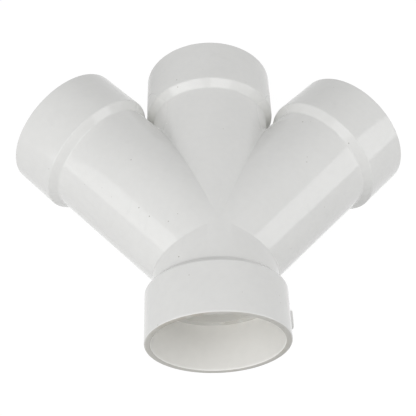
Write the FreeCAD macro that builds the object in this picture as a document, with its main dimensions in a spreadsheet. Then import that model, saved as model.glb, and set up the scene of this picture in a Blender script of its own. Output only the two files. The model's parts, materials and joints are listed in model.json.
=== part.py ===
import FreeCAD, Part
import os
import Sketcher

# A double wye: a drain fitting moulded in one piece from white rigid plastic. A straight run lies along
# Y, and two branches leave it at one point, to the left and to the right, leaning towards the run's
# inlet. Each of the four ends is a hub whose socket takes a plain pipe. The fitting lies flat on the
# undersides of its hubs: X is across, Y is along the run with the outlet at its low end, and Z is up.
# Its origin is on the surface that it lies on, below the middle of its box. The sketches are drawn
# from the point where the three axes cross.

NODE = "double_wye"
UPRIGHT = FreeCAD.Vector(0, 0, 1)
FULL_TURN = 360
# How far the run's two arms lean from the side of its inlet, in degrees.
TO_INLET = "0"
TO_OUTLET = "180"
# Two lengths are the same one if they differ by less than this, in millimetres.
CLOSE = 0.001

# Each row is a size's name, its value in millimetres or degrees, and what it measures.
DRIVING_SIZES = [
    ("pipe_diameter", 114.3, "outside diameter of the pipe that a socket takes"),
    ("socket_clearance", 0.05, "room around the pipe halfway down its socket, on the radius"),
    ("socket_depth", 45.0, "mouth of a hub to the stop that the pipe ends on"),
    ("waterway_diameter", 101.6, "bore of the run between its two stops"),
    ("core_step", 0.2, "branch smaller than the run, inside and out, on the radius"),
    ("body_wall", 5.6, "wall of the run and the branches"),
    ("hub_wall", 5.9, "wall of a hub around its socket"),
    ("hub_height", 47.1, "mouth of a hub to the outer edge of its shoulder"),
    ("shoulder_slope", 45.0, "angle between a shoulder and the axis of its hub"),
    ("outlet_reach", 91.0, "crossing point to the mouth of the outlet"),
    ("inlet_reach", 202.4, "crossing point to the mouth of the run's inlet"),
    ("branch_reach", 202.4, "crossing point to the mouth of a branch"),
    ("branch_angle", 45.0, "angle between a branch and the run"),
    ("saddle_round", 2.5, "radius in the corner between a branch and the run"),
    ("shoulder_round", 1.0, "radius on the outer edge of a shoulder"),
    ("lip_bevel", 0.5, "bevel on the outer edge of a mouth"),
    ("lead_in", 1.2, "bevel on the inner edge of a mouth, which guides the pipe in"),
    ("gate_length", 14.8, "stub left by the moulding gate, along the run"),
    ("gate_width", 6.4, "the stub from its lower to its upper side"),
    ("gate_proud", 2.4, "how far the stub stands out from its hub"),
    ("gate_setback", 15.6, "mouth of the outlet to the near end of the stub"),
    ("gate_bevel", 0.5, "bevel on the outer edges of the stub"),
]
FOLLOWING_SIZES = [
    ("socket_radius", "=pipe_diameter / 2 + socket_clearance", "socket, drawn straight"),
    ("hub_radius", "=socket_radius + hub_wall", "outside of a hub"),
    ("run_bore", "=waterway_diameter / 2", "radius of the waterway in the run"),
    ("run_radius", "=run_bore + body_wall", "outside of the run"),
    ("branch_bore", "=run_bore - core_step", "radius of the waterway in a branch"),
    ("branch_radius", "=run_radius - core_step", "outside of a branch"),
]

doc = FreeCAD.newDocument(NODE)

sizes = doc.addObject("Spreadsheet::Sheet", "sizes")
for row, (alias, size, meaning) in enumerate(DRIVING_SIZES + FOLLOWING_SIZES, start=1):
    sizes.set(f"A{row}", alias)
    sizes.set(f"B{row}", str(size))
    sizes.set(f"C{row}", meaning)
    sizes.setAlias(f"B{row}", alias)
doc.recompute()

body = doc.addObject("PartDesign::Body", NODE)
body.Label = NODE


def origin_plane(role):
    return next(feature for feature in body.Origin.OriginFeatures if feature.Role == role)


def outline(name, plane, corners):
    """A closed sketch, with both distances of each corner bound to the sheet. A corner's third value is
    the radius that rounds it."""
    sketch = body.newObject("Sketcher::SketchObject", name)
    sketch.AttachmentSupport = [(origin_plane(plane), "")]
    sketch.MapMode = "FlatFace"
    points = []
    for corner in corners:
        across, along = (float(sketch.evalExpression(distance)) for distance in corner[:2])
        points.append(FreeCAD.Vector(across, along, 0))
    following = points[1:] + points[:1]
    for start, end in zip(points, following):
        sketch.addGeometry(Part.LineSegment(start, end), False)
    for line in range(len(corners)):
        sketch.addConstraint(Sketcher.Constraint("Coincident", line, 2, (line + 1) % len(corners), 1))
    for line, corner in enumerate(corners):
        for kind, axis, distance, now in zip(("DistanceX", "DistanceY"), (-2, -1), corner, points[line]):
            if distance == "0":
                sketch.addConstraint(Sketcher.Constraint("PointOnObject", line, 1, axis))
            else:
                number = sketch.addConstraint(Sketcher.Constraint(kind, -1, 1, line, 1, now))
                sketch.setExpression(f"Constraints[{number}]", distance)
    for line, corner in enumerate(corners):
        if len(corner) == 3:
            radius = float(sketch.evalExpression(corner[2]))
            sketch.fillet(line, 1, radius, True, True)
            # This has added an arc, and after it a point that keeps the corner's place.
            arc = sketch.GeometryCount - 2
            number = sketch.addConstraint(Sketcher.Constraint("Radius", arc, radius))
            sketch.setExpression(f"Constraints[{number}]", corner[2])
    return sketch


def full_turn(kind, name, sketch, axis):
    """The sketch turned right round one of its own axes, added to the body or cut from it."""
    feature = body.newObject(kind, name)
    feature.Profile = sketch
    feature.ReferenceAxis = (sketch, [axis])
    feature.Angle = FULL_TURN
    doc.recompute()
    return feature


def along_arm(kind, name, corners, lean):
    """An outline drawn beside the run's inlet side, leant to the left onto its own arm about the
    crossing point, and turned right round that arm's axis."""
    sketch = outline(f"{name}_outline", "XY_Plane", corners)
    sketch.AttachmentOffset.Rotation = FreeCAD.Rotation(UPRIGHT, float(sketch.evalExpression(lean)))
    sketch.setExpression("AttachmentOffset.Rotation.Angle", lean)
    return full_turn(kind, name, sketch, "V_Axis")


def mirrored(name, original):
    """The same feature again on the other side of the run."""
    feature = body.newObject("PartDesign::Mirrored", name)
    feature.Originals = [original]
    feature.MirrorPlane = (origin_plane("YZ_Plane"), [""])
    body.Tip = feature
    doc.recompute()
    return feature


def picked(shape, wanted):
    """The names of the edges that the test picks, by the edge itself and the faces beside it."""
    return [f"Edge{number}" for number, edge in enumerate(shape.Edges, start=1)
            if wanted(edge, shape.ancestorsOfType(edge, Part.Face))]


def fillet(name, radius, wanted):
    base = body.Tip
    feature = body.newObject("PartDesign::Fillet", name)
    feature.Base = (base, picked(base.Shape, wanted))
    feature.setExpression("Radius", radius)
    doc.recompute()


def bevel(name, size, wanted):
    base = body.Tip
    feature = body.newObject("PartDesign::Chamfer", name)
    feature.Base = (base, picked(base.Shape, wanted))
    feature.setExpression("Size", size)
    doc.recompute()


def same(first, second):
    return abs(first - second) < CLOSE


def between_cylinders(faces, radius, other_radius):
    """Whether the faces are two cylinders of these radii, which cross."""
    radii = sorted(face.Surface.Radius for face in faces if isinstance(face.Surface, Part.Cylinder))
    wanted = sorted((radius, other_radius))
    return len(radii) == 2 and same(radii[0], wanted[0]) and same(radii[1], wanted[1])


def ends_cylinder(edge, faces, radius, reaches):
    """Whether the edge is a cylinder's flat end, of this radius and at one of these reaches."""
    if {type(face.Surface) for face in faces} != {Part.Plane, Part.Cylinder}:
        return False
    if not isinstance(edge.Curve, Part.Circle) or not same(edge.Curve.Radius, radius):
        return False
    return any(same(edge.Curve.Center.Length, reach) for reach in reaches)


# The run and the branches, as plain pipes. A branch starts at the crossing point, inside the run.
run_outline = outline("run_outline", "YZ_Plane", [
    ("-sizes.outlet_reach", "0"),
    ("-sizes.outlet_reach", "sizes.run_radius"),
    ("sizes.inlet_reach", "sizes.run_radius"),
    ("sizes.inlet_reach", "0"),
])
full_turn("PartDesign::Revolution", "run", run_outline, "H_Axis")
left_branch = along_arm("PartDesign::Revolution", "left_branch", [
    ("0", "0"),
    ("sizes.branch_radius", "0"),
    ("sizes.branch_radius", "sizes.branch_reach"),
    ("0", "sizes.branch_reach"),
], "sizes.branch_angle")
mirrored("right_branch", left_branch)

# Each branch meets the run in one closed saddle line, because it is a little smaller than the run.
fillet("saddles", "sizes.saddle_round",
       lambda edge, faces: between_cylinders(faces, sizes.run_radius, sizes.branch_radius))


def hub(name, reach, lean):
    """A hub round the end of a pipe. Its sloped shoulder is a cone, whose tip is hidden inside the pipe."""
    shoulder_top = f"{reach} - sizes.hub_height"
    return along_arm("PartDesign::Revolution", name, [
        ("0", reach),
        ("sizes.hub_radius", reach),
        ("sizes.hub_radius", shoulder_top, "sizes.shoulder_round"),
        ("0", f"{shoulder_top} - sizes.hub_radius / tan(sizes.shoulder_slope)"),
    ], lean)


hub("inlet_hub", "sizes.inlet_reach", TO_INLET)
hub("outlet_hub", "sizes.outlet_reach", TO_OUTLET)
left_hub = hub("left_hub", "sizes.branch_reach", "sizes.branch_angle")
mirrored("right_hub", left_hub)

mouth_reaches = (sizes.outlet_reach, sizes.inlet_reach, sizes.branch_reach)
bevel("lips", "sizes.lip_bevel",
      lambda edge, faces: ends_cylinder(edge, faces, sizes.hub_radius, mouth_reaches))

# The stub that the moulding gate left on the right of the outlet's hub, on the mould's parting plane.
# It is drawn through to the run's axis, and the socket cuts its hidden part away.
gate_outline = outline("gate_outline", "YZ_Plane", [
    ("sizes.gate_setback - sizes.outlet_reach", "-sizes.gate_width / 2"),
    ("sizes.gate_setback + sizes.gate_length - sizes.outlet_reach", "-sizes.gate_width / 2"),
    ("sizes.gate_setback + sizes.gate_length - sizes.outlet_reach", "sizes.gate_width / 2"),
    ("sizes.gate_setback - sizes.outlet_reach", "sizes.gate_width / 2"),
])
gate = body.newObject("PartDesign::Pad", "gate")
gate.Profile = gate_outline
gate.setExpression("Length", "sizes.hub_radius + sizes.gate_proud")
doc.recompute()
gate_far_end = sizes.gate_setback + sizes.gate_length - sizes.outlet_reach
bevel("gate_edges", "sizes.gate_bevel",
      lambda edge, faces: edge.BoundBox.XMax > sizes.hub_radius + sizes.gate_proud / 2
      and edge.BoundBox.YMax < gate_far_end + sizes.gate_bevel)

# The run's inside: a socket at each end, a stop behind it, and the waterway between the stops.
run_waterway_outline = outline("run_waterway_outline", "YZ_Plane", [
    ("-sizes.outlet_reach", "0"),
    ("-sizes.outlet_reach", "sizes.socket_radius"),
    ("sizes.socket_depth - sizes.outlet_reach", "sizes.socket_radius"),
    ("sizes.socket_depth - sizes.outlet_reach", "sizes.run_bore"),
    ("sizes.inlet_reach - sizes.socket_depth", "sizes.run_bore"),
    ("sizes.inlet_reach - sizes.socket_depth", "sizes.socket_radius"),
    ("sizes.inlet_reach", "sizes.socket_radius"),
    ("sizes.inlet_reach", "0"),
])
full_turn("PartDesign::Groove", "run_waterway", run_waterway_outline, "H_Axis")

# The branches' inside, cut from the crossing point out.
left_waterway = along_arm("PartDesign::Groove", "left_waterway", [
    ("0", "0"),
    ("sizes.branch_bore", "0"),
    ("sizes.branch_bore", "sizes.branch_reach - sizes.socket_depth"),
    ("sizes.socket_radius", "sizes.branch_reach - sizes.socket_depth"),
    ("sizes.socket_radius", "sizes.branch_reach"),
    ("0", "sizes.branch_reach"),
], "sizes.branch_angle")
mirrored("right_waterway", left_waterway)

bevel("lead_ins", "sizes.lead_in",
      lambda edge, faces: ends_cylinder(edge, faces, sizes.socket_radius, mouth_reaches))

# The origin goes to the surface below the middle of the run.
body.setExpression("Placement.Base.y", "(sizes.outlet_reach - sizes.inlet_reach) / 2")
body.setExpression("Placement.Base.z", "sizes.hub_radius")
doc.recompute()

for item in doc.Objects:
    if "Invalid" in item.State or "Error" in item.State:
        raise SystemExit(f"{item.Name} failed: {item.State}")
    if item.isDerivedFrom("Sketcher::SketchObject") and not item.FullyConstrained:
        raise SystemExit(f"{item.Name} isn't fully constrained")
    if item.isDerivedFrom("PartDesign::DressUp"):
        print(item.Name, "edges:", len(item.Base[1]))
if body.Shape.isNull() or not body.Shape.isValid() or len(body.Shape.Solids) != 1:
    raise SystemExit(f"{NODE} is not one valid solid")

os.makedirs("parts", exist_ok=True)
body.Shape.exportStep(f"parts/{body.Label}.step")
box = body.Shape.optimalBoundingBox(False)
print(f"{NODE}: {box.XLength:.1f} x {box.YLength:.1f} x {box.ZLength:.1f} mm")
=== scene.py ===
import json
import math

import bmesh
import bpy
from mathutils import Matrix, Vector


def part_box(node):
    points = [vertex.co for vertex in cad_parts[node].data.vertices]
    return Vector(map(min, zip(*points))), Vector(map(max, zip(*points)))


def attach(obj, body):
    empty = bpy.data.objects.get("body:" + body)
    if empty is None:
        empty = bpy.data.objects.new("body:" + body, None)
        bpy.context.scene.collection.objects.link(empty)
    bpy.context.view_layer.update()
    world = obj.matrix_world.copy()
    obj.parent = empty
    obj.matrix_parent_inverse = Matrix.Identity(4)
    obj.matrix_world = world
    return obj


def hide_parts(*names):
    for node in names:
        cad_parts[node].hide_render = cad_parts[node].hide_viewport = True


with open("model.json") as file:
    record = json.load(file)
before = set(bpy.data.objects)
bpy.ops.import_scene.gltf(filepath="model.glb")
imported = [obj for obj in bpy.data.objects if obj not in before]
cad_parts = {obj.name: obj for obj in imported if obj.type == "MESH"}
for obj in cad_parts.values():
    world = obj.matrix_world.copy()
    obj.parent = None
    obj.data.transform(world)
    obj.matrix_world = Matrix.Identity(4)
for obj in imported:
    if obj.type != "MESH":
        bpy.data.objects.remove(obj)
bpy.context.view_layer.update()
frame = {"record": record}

scene = bpy.context.scene

# The fitting is one moulding of white rigid plastic: a straight run with a branch slanting in on each side.
# Each of its four arms is a turned shape, a pipe body that widens over a short cone into a socketed hub.
# It is cut off on the planes midway to its neighbours, where the walls of the arms run into each other.
low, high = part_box("double_wye")
sockets = {mount["name"]: mount for mount in frame["record"]["mounts"]}
branch_socket = sockets["left_inlet_socket"]
branch_axis = Vector(branch_socket["axis"])
branch_place = Vector(branch_socket["pos_m"])
crossing = branch_place - branch_axis * (branch_place.x / branch_axis.x)
branch_lean = math.atan2(-branch_axis.x, branch_axis.y)
socket_radius = branch_socket["dims"]["r_mm"] / 1000
hub_radius = (high.z - low.z) / 2
inlet_reach = high.y - crossing.y
outlet_reach = crossing.y - low.y
branch_reach = (high.x - hub_radius * branch_axis.y) / abs(branch_axis.x)
socket_depth = 0.045
waterway_radius = 0.0508
body_radius = 0.0564
hub_height = 0.0471
shoulder_length = hub_radius - body_radius
foot_round = 0.0025
shoulder_round = 0.0020
lip_round = 0.0016
lead_in = 0.0020
stop_round = 0.0003
wall_margin = 0.002
mouth_band = 0.0005
# The stop takes this share of the ends' grey, which is painted shade, and of their dirt and dullness.
stop_shade_and_dullness = 0.6
eighth_turn = math.radians(45)
quarter_turn = math.radians(90)
turn_steps = 192
round_steps = 4
cut_margin = 1e-7
merge_margin = 1e-6


def corner(bm, vertex, radius, turn):
    """Rounds one corner of a profile, which turns there by this angle."""
    bmesh.ops.bevel(bm, geom=[vertex], offset=radius * math.tan(turn / 2), offset_type="OFFSET",
                    segments=round_steps, profile=0.5, affect="VERTICES", material=-1)


def heading(lean):
    """Which way an arm points that leans to the left by this angle."""
    return Vector((-math.sin(lean), math.cos(lean), 0))


def arm(reach, lean, neighbours):
    """An arm of the fitting along +Y, leant about the crossing point and cut at its neighbours."""
    bm = bmesh.new()
    profile = [
        (body_radius, 0, 0, 0),
        (body_radius, reach - hub_height - shoulder_length, foot_round, eighth_turn),
        (hub_radius, reach - hub_height, shoulder_round, eighth_turn),
        (hub_radius, reach, lip_round, quarter_turn),
        (socket_radius, reach, lead_in, quarter_turn),
        (socket_radius, reach - socket_depth, stop_round, quarter_turn),
        (waterway_radius, reach - socket_depth, stop_round, quarter_turn),
        (waterway_radius, 0, 0, 0),
    ]
    points = [bm.verts.new((across, along, 0)) for across, along, radius, turn in profile]
    for start, end in zip(points, points[1:]):
        bm.edges.new((start, end))
    for point, (across, along, radius, turn) in zip(points, profile):
        if radius:
            corner(bm, point, radius, turn)
    bmesh.ops.spin(bm, geom=bm.verts[:] + bm.edges[:], cent=(0, 0, 0), axis=(0, 1, 0), dvec=(0, 0, 0),
                   angle=math.tau, steps=turn_steps, use_merge=True)
    inside = bm.faces.layers.float.new("inside")
    bore = bm.faces.layers.float.new("bore")
    ends = bm.faces.layers.float.new("ends")
    for face in bm.faces:
        middle = face.calc_center_median()
        across = math.hypot(middle.x, middle.z)
        deep = middle.y < reach - socket_depth
        # Inside faces are painted paler in the material, which is painted light, save where the bore's tint
        # covers them.
        face[inside] = across < (waterway_radius + wall_margin if deep else hub_radius - wall_margin)
        face[bore] = deep and across < waterway_radius + wall_margin
        at_mouth = middle.y > reach - mouth_band
        at_stop = across < socket_radius and abs(middle.y - reach + socket_depth) < stop_round / 2
        # Cut ends and stops are marked for a grey that is painted shade, for dirt and for dullness.
        face[ends] = 1.0 if at_mouth else stop_shade_and_dullness * at_stop
    bmesh.ops.rotate(bm, verts=bm.verts, cent=(0, 0, 0), matrix=Matrix.Rotation(lean, 3, "Z"))
    for neighbour in neighbours:
        bmesh.ops.bisect_plane(bm, geom=bm.verts[:] + bm.edges[:] + bm.faces[:], dist=cut_margin,
                               plane_co=(0, 0, 0), plane_no=heading(neighbour) - heading(lean),
                               clear_outer=True)
    return bm


leans = {"inlet": 0, "left": branch_lean, "outlet": math.pi, "right": -branch_lean}
arms = [
    arm(inlet_reach, leans["inlet"], (leans["left"], leans["right"])),
    arm(outlet_reach, leans["outlet"], (leans["left"], leans["right"])),
    arm(branch_reach, leans["left"], (leans["inlet"], leans["outlet"])),
    arm(branch_reach, leans["right"], (leans["inlet"], leans["outlet"])),
]
fitting = bmesh.new()
for piece in arms:
    arm_mesh = bpy.data.meshes.new("arm")
    piece.to_mesh(arm_mesh)
    piece.free()
    fitting.from_mesh(arm_mesh)
    bpy.data.meshes.remove(arm_mesh)
bmesh.ops.remove_doubles(fitting, verts=fitting.verts, dist=merge_margin)
bmesh.ops.recalc_face_normals(fitting, faces=fitting.faces)

# The gate stub is what is left of the runner through which the mould was filled.
# It is a low square-cut pad of the same plastic, half way up the right-hand side of the outlet's hub.
gate_setback = 0.0156
gate_length = 0.0148
gate_near = outlet_reach - gate_setback
gate_far = gate_near - gate_length
gate_half = 0.0032
gate_proud = 0.0024
gate_bevel = 0.0005
gate_surround = 0.004
gate_rim = 0.001
gate_corner = math.radians(60)
gate_flank = 0.9
gate_skin = 0.99
gate_steps = 3


def gate_faces(margin):
    """The faces of the hub's right-hand side that lie within this margin of the stub's height."""
    found = []
    for face in fitting.faces:
        middle = face.calc_center_median()
        beside = face.normal.x > gate_flank and middle.x > gate_flank * hub_radius and middle.y < 0
        if beside and abs(middle.z) < gate_half + margin:
            found.append(face)
    return found


for offset, across in ((-gate_near, (0, 1, 0)), (-gate_far, (0, 1, 0)),
                       (-gate_half, (0, 0, 1)), (gate_half, (0, 0, 1))):
    cut = gate_faces(gate_surround)
    edges = list(dict.fromkeys(edge for face in cut for edge in face.edges))
    corners = list(dict.fromkeys(vert for face in cut for vert in face.verts))
    bmesh.ops.bisect_plane(fitting, geom=cut + edges + corners, dist=cut_margin,
                           plane_co=Vector(across) * offset, plane_no=across)
stub = [face for face in gate_faces(0) if -gate_near < face.calc_center_median().y < -gate_far]
raised = bmesh.ops.extrude_face_region(fitting, geom=stub)["geom"]
bmesh.ops.delete(fitting, geom=stub, context="FACES")
top = [item for item in raised if isinstance(item, bmesh.types.BMFace)]
for item in raised:
    if isinstance(item, bmesh.types.BMVert):
        item.co.x = hub_radius + gate_proud
top_edges = dict.fromkeys(edge for face in top for edge in face.edges)
brink = [edge for edge in top_edges if sum(face in top for face in edge.link_faces) == 1]
bmesh.ops.bevel(fitting, geom=brink, offset=gate_bevel, offset_type="OFFSET", segments=gate_steps,
                profile=0.5, affect="EDGES", material=-1)
for edge in fitting.edges:
    middle = (edge.verts[0].co + edge.verts[1].co) / 2
    at_stub = middle.x > gate_skin * hub_radius and middle.y < 0 and abs(middle.z) < gate_half + gate_rim
    if at_stub and edge.calc_face_angle() > gate_corner:
        edge.smooth = False

# The walls meet in saddle lines, which the mould rounds off: a little less in the crotches beside the inlet
# than at the heels beside the outlet, least where the waterways join. A line's weight gives its round the
# reach that its radius needs: the more sharply the walls turn there, the further it reaches.
crotch_round = 0.0018
heel_round = 0.0020
bore_round = 0.0012
saddle_margin = 2e-6
flattest_turn = math.radians(8)
sharpest_turn = math.radians(135)
saddle_steps = 6
widest = crotch_round * math.tan(sharpest_turn / 2)
weights = fitting.edges.layers.float.new("bevel_weight_edge")
directions = {name: heading(lean) for name, lean in leans.items()}
for straight, outer_round in (("inlet", crotch_round), ("outlet", heel_round)):
    for branch in ("left", "right"):
        between = (directions[branch] - directions[straight]).normalized()
        for edge in fitting.edges:
            on_line = all(abs(vert.co.dot(between)) < saddle_margin for vert in edge.verts)
            if on_line and edge.calc_face_angle() > flattest_turn:
                middle = (edge.verts[0].co + edge.verts[1].co) / 2
                off_axis = middle - directions[branch] * middle.dot(directions[branch])
                outside = off_axis.length > (body_radius + waterway_radius) / 2
                radius = outer_round if outside else bore_round
                edge[weights] = radius * math.tan(edge.calc_face_angle() / 2) / widest
bmesh.ops.translate(fitting, verts=fitting.verts, vec=crossing)
for face in fitting.faces:
    face.smooth = True
mesh = bpy.data.meshes.new("wye_fitting")
fitting.to_mesh(mesh)
fitting.free()
wye = bpy.data.objects.new("wye_fitting", mesh)
scene.collection.objects.link(wye)
rounds = wye.modifiers.new("saddle_rounds", "BEVEL")
rounds.limit_method = "WEIGHT"
rounds.offset_type = "OFFSET"
rounds.width = widest
rounds.segments = saddle_steps
rounds.profile = 0.5
rounds.use_clamp_overlap = False
shading = wye.modifiers.new("even_shading", "WEIGHTED_NORMAL")
shading.keep_sharp = True

# The plastic is white and rigid, as glossy as the polished mould leaves it, with a hair line where the
# mould's halves met. It is a little cloudy, specked and smudged, with dirt on the cut ends and the stops.
# The cut ends and the stops are painted grey and are duller, the grey being painted shade. The sockets and
# the crotches are painted paler than the rest, which is painted light, and they are less glossy.
white_outside = (0.84, 0.84, 0.825, 1)
# Painted light: the sockets are painted paler than the outside.
painted_light_in_socket = (0.935, 0.927, 0.90, 1)
# Painted light: the crotches are painted paler than the rest.
painted_light_in_crotch = (0.935, 0.935, 0.92, 1)
white_in_bore = (0.84, 0.833, 0.802, 1)
# Painted shade: the cut ends and the stops are painted grey.
painted_shade_on_ends = (0.585, 0.575, 0.54, 1)
dirt_brown = (0.32, 0.27, 0.19, 1)
speck_brown = (0.20, 0.17, 0.13, 1)
dirt_share = 0.35
# Where the painted light round the crotches lies, and over what distances it fades in.
crotch_reach = 0.150
pale_edge = 0.062
pale_core = 0.018
seam_edge = 0.00022
seam_core = 0.00006
plastic_index = 1.54


class Socket:
    """A shader socket, on which sums are written as Python expressions."""

    def __init__(self, socket):
        self.socket = socket

    def maths(self, operation, *values):
        tree = self.socket.id_data
        return node(tree, "ShaderNodeMath", {"operation": operation}, dict(enumerate(values)), 0)

    def __add__(self, other):
        return self.maths("ADD", self, other)

    def __radd__(self, other):
        return self.maths("ADD", other, self)

    def __sub__(self, other):
        return self.maths("SUBTRACT", self, other)

    def __rsub__(self, other):
        return self.maths("SUBTRACT", other, self)

    def __mul__(self, other):
        return self.maths("MULTIPLY", self, other)

    def __rmul__(self, other):
        return self.maths("MULTIPLY", other, self)

    def __abs__(self):
        return self.maths("ABSOLUTE", self)


def node(tree, kind, settings, values, output=None):
    """Adds a shader node: its settings first, then what its sockets hold or are linked to."""
    made = tree.nodes.new(kind)
    for name, setting in settings.items():
        setattr(made, name, setting)
    for name, value in values.items():
        if isinstance(value, Socket):
            tree.links.new(value.socket, made.inputs[name])
        else:
            made.inputs[name].default_value = value
    return made if output is None else Socket(made.outputs[output])


plastic = bpy.data.materials.new("white_plastic")
plastic.use_nodes = True
plastic_tree = plastic.node_tree
plastic_tree.nodes.clear()
place = node(plastic_tree, "ShaderNodeTexCoord", {}, {}, "Object")
within = node(plastic_tree, "ShaderNodeAttribute", {"attribute_name": "inside"}, {}, "Fac")
bore = node(plastic_tree, "ShaderNodeAttribute", {"attribute_name": "bore"}, {}, "Fac")
end = node(plastic_tree, "ShaderNodeAttribute", {"attribute_name": "ends"}, {}, "Fac")


def blotches(scale, detail, distortion=0):
    """Soft blotches in the plastic, this many to the metre, above and below nought."""
    values = {"Vector": place, "Scale": scale, "Detail": detail, "Distortion": distortion}
    return node(plastic_tree, "ShaderNodeTexNoise", {}, values, "Fac") - 0.5


def mark(value, start, full):
    """A mark that begins where a value reaches its start and is full at the other."""
    values = {"Value": value, "From Min": start, "From Max": full}
    return node(plastic_tree, "ShaderNodeMapRange", {"interpolation_type": "SMOOTHSTEP"}, values, "Result")


def tint(share, ground, colour):
    """The ground with this share of a colour laid over it."""
    return node(plastic_tree, "ShaderNodeMix", {"data_type": "RGBA"}, {0: share, 6: ground, 7: colour}, 2)


def painted_crotch_light(branch):
    """The zone round the depth of the crotch between the inlet and this branch, painted paler: painted
    light.
    """
    halfway = (directions["inlet"] + directions[branch]).normalized()
    depth = crossing + halfway * crotch_reach
    span = {"operation": "DISTANCE"}
    away = node(plastic_tree, "ShaderNodeVectorMath", span, {0: place, 1: depth}, "Value")
    return mark(away, pale_edge, pale_core)


crotch = painted_crotch_light("left") + painted_crotch_light("right")
cloud = blotches(24, 2)
grain = blotches(170, 3)
smudge = mark(blotches(38, 4, 1.2), 0.10, 0.24)
dirt = mark(blotches(30, 4, 0.6), 0.02, 0.20) * end
grit = node(plastic_tree, "ShaderNodeTexVoronoi", {}, {"Vector": place, "Scale": 120})
lot = node(plastic_tree, "ShaderNodeSeparateColor", {}, {"Color": Socket(grit.outputs["Color"])})
chosen = mark(Socket(lot.outputs["Red"]), 0.80, 0.81)
spread = 0.04 * Socket(lot.outputs["Green"])
darkness = 0.3 + 0.4 * Socket(lot.outputs["Blue"])
speck = mark(Socket(grit.outputs["Distance"]) - spread, 0.055, 0.03) * chosen
above_middle = node(plastic_tree, "ShaderNodeSeparateXYZ", {}, {"Vector": place}, "Z") - crossing.z
seam = mark(abs(above_middle), seam_edge, seam_core) * (1 - within) * (1 - end)

# Paler inside the sockets: painted light.
white = tint(within, white_outside, painted_light_in_socket)
# Paler round the crotches: painted light.
white = tint(crotch, white, painted_light_in_crotch)
white = tint(bore, white, white_in_bore)
# Grey on the cut ends and the stops: painted shade.
white = tint(end, white, painted_shade_on_ends)
shade = 1 + 0.06 * cloud + 0.05 * grain - 0.022 * smudge - 0.03 * seam
white = node(plastic_tree, "ShaderNodeVectorMath", {"operation": "SCALE"},
             {"Vector": white, "Scale": shade}, 0)
white = tint(dirt_share * dirt, white, dirt_brown)
white = tint(speck * darkness, white, speck_brown)
dullness = 0.25 * within + 0.25 * end + 0.3 * crotch
roughness = 0.10 + 0.05 * cloud + 0.10 * smudge + 0.3 * speck + dullness
relief = blotches(260, 2) * (0.000025 - 0.000015 * within) + 0.00001 * grain + 0.00006 * seam
bump = node(plastic_tree, "ShaderNodeBump", {},
            {"Height": relief, "Distance": 1.0, "Strength": 1.0}, "Normal")
finish = {"Base Color": white, "Roughness": roughness, "IOR": plastic_index, "Normal": bump}
shader = node(plastic_tree, "ShaderNodeBsdfPrincipled", {}, finish, "BSDF")
node(plastic_tree, "ShaderNodeOutputMaterial", {}, {"Surface": shader})
wye.data.materials.append(plastic)
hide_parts("double_wye")
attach(wye, "root")

# The floor is plain pale paper. Where it is looked at, straight or in a reflection, it is white with the
# fitting's faint shadow on it; to the light it is matt and pale grey.
floor_half = 6
paper_grey = (0.6, 0.6, 0.6, 1)
shadow_grey = (0.1, 0.1, 0.1, 1)
paper_glow = (0.95, 0.95, 0.95, 1)
floor_mesh = bpy.data.meshes.new("floor")
bm = bmesh.new()
bmesh.ops.create_grid(bm, x_segments=1, y_segments=1, size=floor_half)
bm.to_mesh(floor_mesh)
bm.free()
floor = bpy.data.objects.new("floor", floor_mesh)
scene.collection.objects.link(floor)
paper = bpy.data.materials.new("floor_paper")
paper.use_nodes = True
paper_tree = paper.node_tree
paper_tree.nodes.clear()


def looked_at(tree):
    """One where a surface is looked at, straight, in a reflection or through something clear."""
    rays = node(tree, "ShaderNodeLightPath", {}, {})
    seen = Socket(rays.outputs["Is Camera Ray"]) + Socket(rays.outputs["Is Glossy Ray"])
    return seen + Socket(rays.outputs["Is Transmission Ray"])


matt = node(paper_tree, "ShaderNodeBsdfDiffuse", {}, {"Color": paper_grey}, "BSDF")
shadow = node(paper_tree, "ShaderNodeBsdfDiffuse", {}, {"Color": shadow_grey}, "BSDF")
glow = node(paper_tree, "ShaderNodeEmission", {}, {"Color": paper_glow, "Strength": 1.0}, "Emission")
bright = node(paper_tree, "ShaderNodeAddShader", {}, {0: shadow, 1: glow}, 0)
mixed = node(paper_tree, "ShaderNodeMixShader", {}, {0: looked_at(paper_tree), 1: matt, 2: bright}, 0)
node(paper_tree, "ShaderNodeOutputMaterial", {}, {"Surface": mixed})
floor.data.materials.append(paper)

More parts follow.
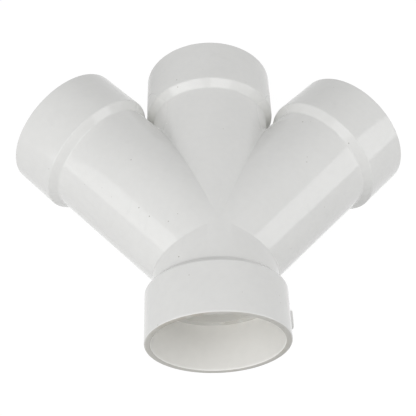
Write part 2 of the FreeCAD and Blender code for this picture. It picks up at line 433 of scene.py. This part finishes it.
# The studio light is soft: an even glow all round, panels low on either side that the barrels of the
# pipes show as long highlights, and two higher up in front that light the shoulders and the crotches.
sky_grey = (0.9, 0.9, 0.9, 1)
sky_strength = 0.495
wall_white = (1, 1, 1, 1)
world = bpy.data.worlds.new("studio")
scene.world = world
world.use_nodes = True
world_tree = world.node_tree
world_tree.nodes.clear()
sky = node(world_tree, "ShaderNodeBackground", {}, {"Color": sky_grey, "Strength": sky_strength}, 0)
wall = node(world_tree, "ShaderNodeBackground", {}, {"Color": wall_white, "Strength": 1.0}, 0)
mixed = node(world_tree, "ShaderNodeMixShader", {}, {0: looked_at(world_tree), 1: sky, 2: wall}, 0)
node(world_tree, "ShaderNodeOutputWorld", {}, {"Surface": mixed})
scene.view_settings.view_transform = "Standard"
scene.cycles.diffuse_bounces = 12


def softbox(name, azimuth, elevation, distance, width, tall, power):
    """A panel of light that faces the crossing of the pipes, at this bearing from the studio's back."""
    lamp = bpy.data.lights.new(name, "AREA")
    lamp.shape = "RECTANGLE"
    lamp.size = width
    lamp.size_y = tall
    lamp.energy = power
    lit = bpy.data.objects.new(name, lamp)
    bearing = math.radians(azimuth)
    height = math.radians(elevation)
    toward = Vector((math.sin(bearing), math.cos(bearing), math.tan(height))).normalized()
    lit.location = crossing + distance * toward
    lit.rotation_euler = (-toward).to_track_quat("-Z", "Y").to_euler()
    scene.collection.objects.link(lit)


softbox("left_front_softbox", azimuth=-136, elevation=21, distance=1.35, width=0.76, tall=0.80, power=3.6)
softbox("left_back_softbox", azimuth=-109, elevation=21, distance=1.35, width=0.50, tall=0.80, power=1.45)
softbox("right_softbox", azimuth=98, elevation=22, distance=1.35, width=0.77, tall=0.80, power=2.95)
softbox("left_top_softbox", azimuth=-140, elevation=52, distance=1.35, width=0.7, tall=0.7, power=1.75)
softbox("front_softbox", azimuth=158, elevation=58, distance=1.3, width=0.62, tall=0.9, power=2.3)

# The camera looks down on the outlet from the front, a little from the left and tilted. Its picture is
# shifted, so that the fitting lies in the middle of it.
camera_place = crossing + Vector((-0.0518, -0.3692, 0.6260))
camera_azimuth = math.radians(-8.679)
camera_elevation = math.radians(56.193)
camera_roll = math.radians(7.556)
camera_data = bpy.data.cameras.new("camera")
camera_data.lens = 69.26
camera_data.shift_x = -0.0417
camera_data.shift_y = 0.0071
camera = bpy.data.objects.new("camera", camera_data)
scene.collection.objects.link(camera)
camera.matrix_world = (Matrix.Translation(camera_place)
                       @ Matrix.Rotation(camera_azimuth, 4, "Z")
                       @ Matrix.Rotation(math.pi / 2 - camera_elevation, 4, "X")
                       @ Matrix.Rotation(camera_roll, 4, "Z"))
scene.camera = camera
